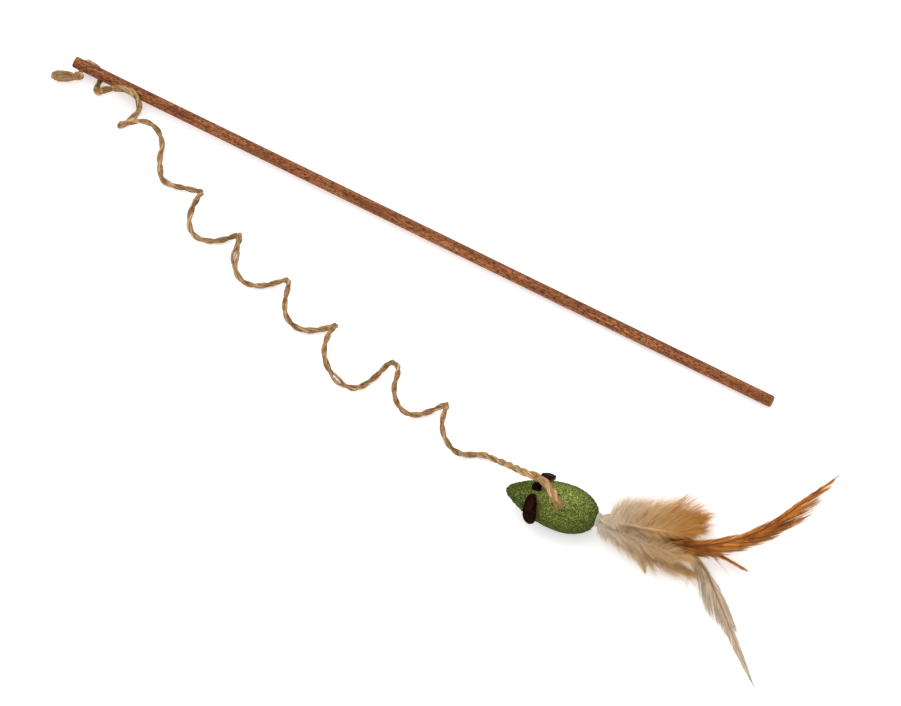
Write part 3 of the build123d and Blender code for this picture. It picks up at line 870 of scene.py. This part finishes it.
ear_seat_r = flank_r(ear_at + ear_width / 2) + ear_clearance


def turned(outline, steps):
    """A surface turned round the mouse's spine, from an outline of (distance from the nose, radius)."""
    bm = bmesh.new()
    rail = [bm.verts.new(on_mouse(station, 0, spine_height + radius)) for station, radius in outline]
    edges = [bm.edges.new(pair) for pair in zip(rail, rail[1:])]
    bmesh.ops.spin(bm, geom=rail + edges, cent=spine_foot, axis=spine, angle=tau, steps=steps, use_merge=True)
    return bm


def face_out(bm):
    bmesh.ops.recalc_face_normals(bm, faces=bm.faces)
    bm.normal_update()


def outwards(face):
    """The direction from the mouse's spine to a face."""
    place = face.calc_center_median() - spine_foot
    return (place - spine * place.dot(spine)).normalized()


def thicken(bm):
    """Gives a sheet on the mouse the leather's thickness, inwards."""
    face_out(bm)
    if sum(face.normal.dot(outwards(face)) for face in bm.faces) < 0:
        bmesh.ops.reverse_faces(bm, faces=bm.faces)
    bmesh.ops.solidify(bm, geom=list(bm.faces), thickness=-ear_thickness)


def press_mouse(finish, flake_finish):
    """The pressed body: a turned teardrop with a crumbly surface, and the leaf flakes on it."""
    count = 130
    stations = [mouse_length * (0.5 - 0.5 * cos(pi * step / count)) for step in range(count + 1)]
    bm = turned([(station, flank_r(station)) for station in stations], steps=150)
    bmesh.ops.remove_doubles(bm, verts=bm.verts, dist=1e-6)
    face_out(bm)
    moves = []
    for vert in bm.verts:
        lumps = noise.noise(vert.co * 90) * lump_height
        grains = noise.noise(vert.co * 520) * coarse_grain + noise.noise(vert.co * 1100) * fine_grain
        moves.append(vert.co + vert.normal * (lumps + grains - surface_sink))
    for vert, place in zip(bm.verts, moves):
        vert.co = place
        vert.co.z = max(vert.co.z, 0)
    put("pressed_catnip", from_bmesh(bm, "pressed_catnip"), finish, "mouse", "catnip", "mouse_body")

    rng = Random(3)
    flakes = bmesh.new()
    for _ in range(flake_count):
        station = mouse_length * rng.random()
        angle = rng.uniform(0, tau)
        radius = flank_r(station)
        if rng.random() > radius / mouse_r + 0.15:
            continue
        out = rightward * sin(angle) + up * cos(angle)
        spot = on_mouse(station, 0, spine_height) + out * (radius + rng.uniform(*flake_sinks))
        if spot.z < flakes_floor or station > flakes_end:
            continue
        lie = Matrix.Translation(spot) @ out.to_track_quat("Z", "Y").to_matrix().to_4x4()
        spin = Matrix.Rotation(rng.uniform(0, tau), 4, "Z")
        lie @= spin @ Matrix.Rotation(rng.gauss(0, flake_tilt), 4, "X")
        size = [rng.uniform(*limits) for limits in flake_sizes]
        bmesh.ops.create_cube(flakes, size=1, matrix=lie @ Matrix.Diagonal((*size, 1)))
    put("catnip_flakes", from_bmesh(flakes, "catnip_flakes", False), flake_finish, "mouse", "catnip")


def stood_off(along, far, stand):
    """A place on the far ear, which leaves its root and droops a little on its way out."""
    root = ear_tilt - ear_length / 2 / ear_seat_r
    slope = far_ear_slope + far_ear_droop * far / ear_length / 2
    across = ear_seat_r * sin(root) + far * cos(slope) + stand * sin(slope)
    height = ear_seat_r * cos(root) - far * sin(slope) + stand * cos(slope)
    return on_mouse(ear_at + along, across, spine_height + height)


def cut_ear(name, side, finishes):
    """A suede lobe with a paler cut edge: the near one follows the head's side, the far one stands off it."""
    body = "right_ear" if side > 0 else "left_ear"
    bm = bmesh.new()
    bmesh.ops.create_circle(bm, cap_ends=True, radius=1, segments=56)
    faces = list(bm.faces)
    for _ in range(7):
        bmesh.ops.inset_region(bm, faces=faces, thickness=0.12)
    for vert in bm.verts:
        wide, long = vert.co.x, vert.co.y
        fullness = 1.04 + 0.08 * long + 0.5 * max(0, -long) ** 3
        along = ear_stagger * side + wide * ear_width / 2 * fullness
        if side < 0:
            along -= wide * ear_width / 2 * near_ear_taper * max(0, long) ** 3
            along -= near_ear_sweep * (0.5 - 0.5 * long) + near_ear_lean * max(0, long) ** 2
        down = long * ear_length / 2 + min(0, long) * ear_root[side]
        ripple = ear_ripple * noise.noise(Vector((along, down, side)) * 260)
        cup = ear_side_cup * wide**2 + ear_end_cup * max(0, long) ** 2
        stand = ear_seat_r + ripple + cup
        if side > 0:
            vert.co = stood_off(along, down + ear_length / 2, ripple + cup)
            continue
        turn = side * (ear_tilt + down / (ear_seat_r + ear_thickness / 2))
        vert.co = on_mouse(ear_at + along, stand * sin(turn), spine_height + stand * cos(turn))
    thicken(bm)
    bm.normal_update()
    for face in bm.faces:
        face.material_index = int(abs(face.normal.dot(outwards(face))) < 0.5)
    put(name + "_lobe", from_bmesh(bm, name + "_lobe"), finishes, body, "ear_leather", name)


def tuck_bridge(finish):
    """The middle of the ear strip, where it comes out of the head under the twine."""
    bm = bmesh.new()
    bmesh.ops.create_grid(bm, x_segments=8, y_segments=8, size=1)
    surface = flank_r(bridge_at)
    for vert in bm.verts:
        wide, long = vert.co.x, vert.co.y
        stand = surface + bridge_stand - bridge_end_drop * long**4 - bridge_side_drop * wide**4
        stand += bridge_lumps * noise.noise(vert.co * 2.1)
        turn = bridge_middle + long * bridge_half_angle
        along = bridge_at + wide * bridge_width / 2 * (1 + 0.35 * noise.noise(vert.co * 1.7))
        vert.co = on_mouse(along, stand * sin(turn), spine_height + stand * cos(turn))
    thicken(bm)
    # Its finish is the darker copy of the suede, with painted shade.
    put("bridge_fold", from_bmesh(bm, "bridge_fold"), finish, "mouse", "ear_leather", "ear_bridge")


def glue_collar(finish):
    """A lumpy ring of set glue between the body and the quills."""
    bm = turned(collar_outline, steps=40)
    bmesh.ops.holes_fill(bm, edges=bm.edges, sides=0)
    face_out(bm)
    for vert in bm.verts:
        vert.co += vert.normal * (noise.noise(vert.co * 300) * collar_lumps)
    piece = put("glue_bead", from_bmesh(bm, "glue_bead"), finish, "mouse", "glue", "tail_glue")
    piece.modifiers.new("soften", "SUBSURF").levels = 2
    piece.modifiers["soften"].render_levels = 2


tail_dir = Vector((cos(tail_heading), sin(tail_heading), 0))
tail_side = up.cross(tail_dir)
quill_end = joints["tail_sway"] + tail_dir * quill_reach


class Shaft:
    """A feather's shaft, which bends in its own plane over a stretch of its length."""

    def __init__(self, root, along, across, first_turn, bend, length, stretch=(0, 1)):
        self.along, self.across = along, across
        self.normal = along.cross(across)
        self.first_turn, self.bend, self.length, self.stretch = first_turn, bend, length, stretch
        self.places = [root]
        for step in range(shaft_steps):
            ahead = self.towards(self.heading((step + 0.5) / shaft_steps))
            self.places.append(self.places[-1] + ahead * (length / shaft_steps))

    def heading(self, share):
        begin, end = self.stretch
        return self.first_turn + self.bend * min(1, max(0, (share - begin) / (end - begin)))

    def place(self, share):
        spot = share * shaft_steps
        step = min(max(int(spot), 0), shaft_steps - 1)
        return self.places[step].lerp(self.places[step + 1], spot - step)

    def towards(self, angle):
        return self.along * cos(angle) + self.across * sin(angle)


def barb(shaft, share, side, length, lean, lean_end, rise, curl, thick):
    """One barb, from the shaft outwards, bending towards the feather's tip and sagging a little."""
    spot = shaft.place(share)
    strand = []
    for part in fibre_shares:
        strand.append((spot.copy(), thick * (1.1 - part)))
        bend = lean + (lean_end - lean) * part + curl * sin(part * 4.5)
        angle = shaft.heading(share + part * length / shaft.length) + side * bend
        lift = rise * (1 - 0.5 * part) - barb_sag * length * part
        spot = spot + (shaft.towards(angle) + shaft.normal * lift) * (length / fibre_steps)
        spot.z = max(spot.z, barb_floor)
    return strand


def shaft_strand(shaft, thick, steps=24):
    return [(shaft.place(step / steps), thick * (1.1 - step / steps)) for step in range(steps + 1)]


def vane(rng, shaft, begin, outlines, leans, count, shortest):
    """Close, fine barbs along both sides of a shaft, out to each side's outline."""
    strands = []
    for side, outline in zip((-1, 1), outlines):
        lock_lean = lock_length = lock_rise = 0.0
        for step in range(count):
            if step % barbs_in_vane_lock == 0:
                lock_lean = rng.gauss(0, 0.022)
                lock_length = rng.uniform(shortest, 1.06)
                lock_rise = rng.gauss(0, 0.02)
            part = step / (count - 1)
            share = begin + (0.985 - begin) * part
            lean = max(radians(4), leans[0] + (leans[1] - leans[0]) * part + lock_lean + rng.gauss(0, 0.012))
            vane_length = shaft.length * (1 - begin)
            length = shortest_barb
            while length * sin(lean) < between(outline, part + length * cos(lean) / vane_length):
                length += barb_step
            length = length * lock_length * rng.uniform(0.92, 1.04)
            rise = lock_rise + rng.gauss(0, 0.012)
            strands.append(barb(shaft, share, side, length, lean * 1.3, lean * 0.7, rise, 0, vane_barb_r))
    return strands


def fluff(rng, shaft, reaches):
    """Long, fine, wavy barbs in small loose locks that spread to both sides of a shaft."""
    strands = []
    for (side, first, root_lean, end_lean), reach in zip(fluff_sides, reaches):
        for _ in range(down_locks):
            share = first + (1 - first) * rng.random()
            lean = root_lean + (end_lean - root_lean) * share**0.8
            lean = lean * (1 - 0.85 * max(0, share - 0.72) / 0.28) + rng.gauss(0, 0.2)
            full = reach * between(fluff_fullness[side], share) * rng.uniform(0.62, 1.06)
            rise = rng.gauss(0.02, 0.28)
            curl = rng.gauss(0, 0.2)
            for _ in range(barbs_in_down_lock):
                root = min(max(share + rng.gauss(0, 0.014), 0), 1)
                length = full * rng.uniform(0.75, 1.06)
                bent = lean + rng.gauss(0, 0.07)
                lift = rise + rng.gauss(0, 0.09)
                strands.append(barb(shaft, root, side, length, bent, bent * 0.6, lift, curl, down_barb_r))
    for _ in range(neck_barbs):
        length = rng.uniform(*neck_lengths)
        lean = rng.gauss(0, 0.14)
        rise = rng.gauss(0.05, 0.1)
        curl = rng.gauss(0, 0.15)
        strands.append(barb(shaft, 0, 1, length, lean, lean * 0.5, rise, curl, stray_barb_r))
    return strands


def stray(rng, shaft, share, spread, count, end):
    """Barbs of one shaft that draw together to a point."""
    strands = []
    for _ in range(count):
        root = shaft.place(min(1, max(0, share + rng.gauss(0, spread))))
        tip = Vector(end) + Vector((rng.gauss(0, 0.0003), rng.gauss(0, 0.0003), rng.gauss(0, 0.0003)))
        bow = (tip - root).cross(up) * rng.gauss(0, 0.05)
        strand = []
        for part in fibre_shares:
            spot = root.lerp(tip, part) + bow * sin(pi * part)
            strand.append((spot, stray_barb_r * (1.1 - part)))
        strands.append(strand)
    return strands


def dress(rng, name, shaft, strands, finish, slot):
    """One feather: its barbs, and those of them that stand out of the tail's outline."""
    for feather, *barbs in stray_barbs:
        if feather == name:
            strands += stray(rng, shaft, *barbs)
    put(name + "_barbs", strands, finish, "tail", slot, name)


def fledge(finishes, quill_finish, shaft_finish):
    """Tail: the long feathers one above the other, and the down round them."""
    rng = Random(23)
    shafts = []
    lowest = -quill_pitch_up * (len(long_feathers) - 1) / 2
    for layer, (name, shape) in enumerate(long_feathers.items()):
        tilt, first_turn, bend, stretch, length, begin, leans, count, shortest, finish = shape
        along = tail_dir * cos(radians(tilt)) + up * sin(radians(tilt))
        root = quill_end + up * (lowest + layer * quill_pitch_up)
        shaft = Shaft(root, along, tail_side, radians(first_turn), radians(bend), length, stretch)
        leans = [radians(lean) for lean in leans]
        strands = vane(rng, shaft, begin, vane_outlines[name], leans, count, shortest)
        dress(rng, name, shaft, strands, finishes[finish], finish)
        shafts.append([(root - along * shaft_foot, shaft_foot_r)] + shaft_strand(shaft, shaft_r))
    put("long_shafts", shafts, shaft_finish, "tail", "quill")
    quills = []
    for name, (angle, flare, length, reaches, finish) in down_feathers.items():
        outward = tail_side * cos(radians(angle)) + up * sin(radians(angle))
        along = tail_dir * cos(radians(flare)) + outward * sin(radians(flare))
        root = quill_end + outward * down_ring - tail_dir * down_foot
        shaft = Shaft(root, along, tail_side, -down_bend / 2, down_bend, length)
        dress(rng, name, shaft, fluff(rng, shaft, reaches), finishes[finish], "golden_down")
        quills.append(shaft_strand(shaft, quill_r))
    put("quills", quills, quill_finish, "tail", "quill", "quill_bundle")


def fray_end(finish, frames):
    """The twine's cut end, glued on the mouse's back with its fibres loose, and the hairs round it."""
    rng = Random(9)
    _, place, ahead, *_ = frames[-1]
    fibres = brush(rng, place - ahead * fray_back, ahead, ahead.cross(up), **fray)
    end_from_nose, end_across, _ = back_points[-1]
    for _ in range(hair_count):
        from_nose = end_from_nose - rng.uniform(0, hair_reach)
        across = end_across + (end_from_nose - from_nose) * 0.9 + rng.gauss(0, 0.0012)
        heading = rng.gauss(-0.6, 0.9)
        length = rng.uniform(*hair_lengths)
        hair = []
        for share in fibre_shares:
            stand = flank_r(from_nose) + hair_lift * (1 - share) ** 2 + hair_gap
            spot = on_mouse(from_nose, across, spine_height + sqrt(stand**2 - across**2))
            hair.append((spot, hair_r * (1.1 - share)))
            from_nose += cos(heading) * length / fibre_steps
            across += sin(heading) * length / fibre_steps
            heading += rng.gauss(0, 0.22)
        fibres.append(hair)
    put("frayed_end", fibres, finish, "mouse", "jute")


def aim(name, data, place, ahead):
    """A lamp or the camera at a place, looking a given way."""
    holder = bpy.data.objects.new(name, data)
    holder.location = place
    holder.rotation_euler = ahead.to_track_quat("-Z", "Y").to_euler()
    bpy.context.scene.collection.objects.link(holder)
    return holder


def studio():
    """White floor, soft light from above and the camera."""
    bm = bmesh.new()
    bmesh.ops.create_grid(bm, x_segments=1, y_segments=1, size=floor_size)
    floor = bpy.data.objects.new("floor", from_bmesh(bm, "floor"))
    bpy.context.scene.collection.objects.link(floor)
    floor.data.materials.append(white_floor())
    world = bpy.data.worlds.new("studio")
    world.use_nodes = True
    sky = world.node_tree.nodes["Background"].inputs
    sky["Color"].default_value = (1, 1, 1, 1)
    sky["Strength"].default_value = sky_strength
    bpy.context.scene.world = world
    for name, (place, size, power) in lamps.items():
        lamp = bpy.data.lights.new(name, "AREA")
        lamp.size = size
        lamp.energy = power
        aim(name, lamp, place, -Vector(place))
    camera = bpy.data.cameras.new("camera")
    camera.sensor_width = sensor_width
    camera.lens = sensor_width * view_distance / view_width
    camera.clip_end = 2 * view_distance
    level = Vector((sin(view_azimuth), -cos(view_azimuth), 0))
    back = level * cos(view_elevation) + up * sin(view_elevation)
    bpy.context.scene.camera = aim("camera", camera, look_at + back * view_distance, -back)
    bpy.context.scene.view_settings.view_transform = "Standard"


def paint(node, material):
    """Gives its finish to a CAD node that is still shown."""
    nodes[node].data.materials.clear()
    nodes[node].data.materials.append(material)


studio()
# Each jute's second colour is painted shade for the gaps between its yarns.
jute_finish = jute("jute", (0.055, 0.02, 0.005))
loose_jute_finish = jute("loose_jute", (0.36, 0.215, 0.095))
suede_finish = suede("suede", (0.004, 0.001, 0.0007), (0.018, 0.0045, 0.0025), (0.055, 0.014, 0.007))
# A darker copy of the suede: painted shade on the ear strip's middle, where it comes out under the twine.
shaded_suede_finish = suede("shaded_suede", (0.0015, 0.0006, 0.0005), (0.006, 0.0022, 0.0016), (0.014, 0.005, 0.003))
glue_finish = hot_glue()
plumes = {
    "brown_feather": hackle_plumage(
        "brown_hackle", (0.12, 0.028, 0.005), (0.17, 0.036, 0.005), (0.47, 0.138, 0.014),
        (0.8, 0.315, 0.05), (0.75, 0.38, 0.11),
    ),
    "cream_feather": hackle_plumage(
        "cream_hackle", (0.28, 0.14, 0.06), (0.42, 0.29, 0.17), (0.58, 0.44, 0.29),
        (0.74, 0.61, 0.46), (0.72, 0.6, 0.47),
    ),
    "golden_down": down_plumage("golden_down", (0.86, 0.72, 0.54), (0.8, 0.52, 0.235), (0.68, 0.32, 0.07)),
    "pale_down": down_plumage("pale_down", (0.81, 0.7, 0.55), (0.74, 0.53, 0.305), (0.76, 0.5, 0.23)),
}
paint("wand_rod", stained_wood())
paint("head_glue", glue_finish)
twine_frames = lay_twine(jute_finish, loose_jute_finish)
tie_knot(jute_finish, loose_jute_finish)
fray_end(loose_jute_finish, twine_frames)
press_mouse(catnip(), catnip_flake())
cut_ear("ear_right", 1, [suede_finish, cut_leather()])
cut_ear("ear_left", -1, [suede_finish, cut_leather()])
tuck_bridge(shaded_suede_finish)
glue_collar(glue_finish)
quill_finish = quill("quill", (0.62, 0.46, 0.27), (0.82, 0.7, 0.52))
shaft_finish = quill("feather_shaft", (0.12, 0.04, 0.01), (0.26, 0.11, 0.036))
fledge(plumes, quill_finish, shaft_finish)
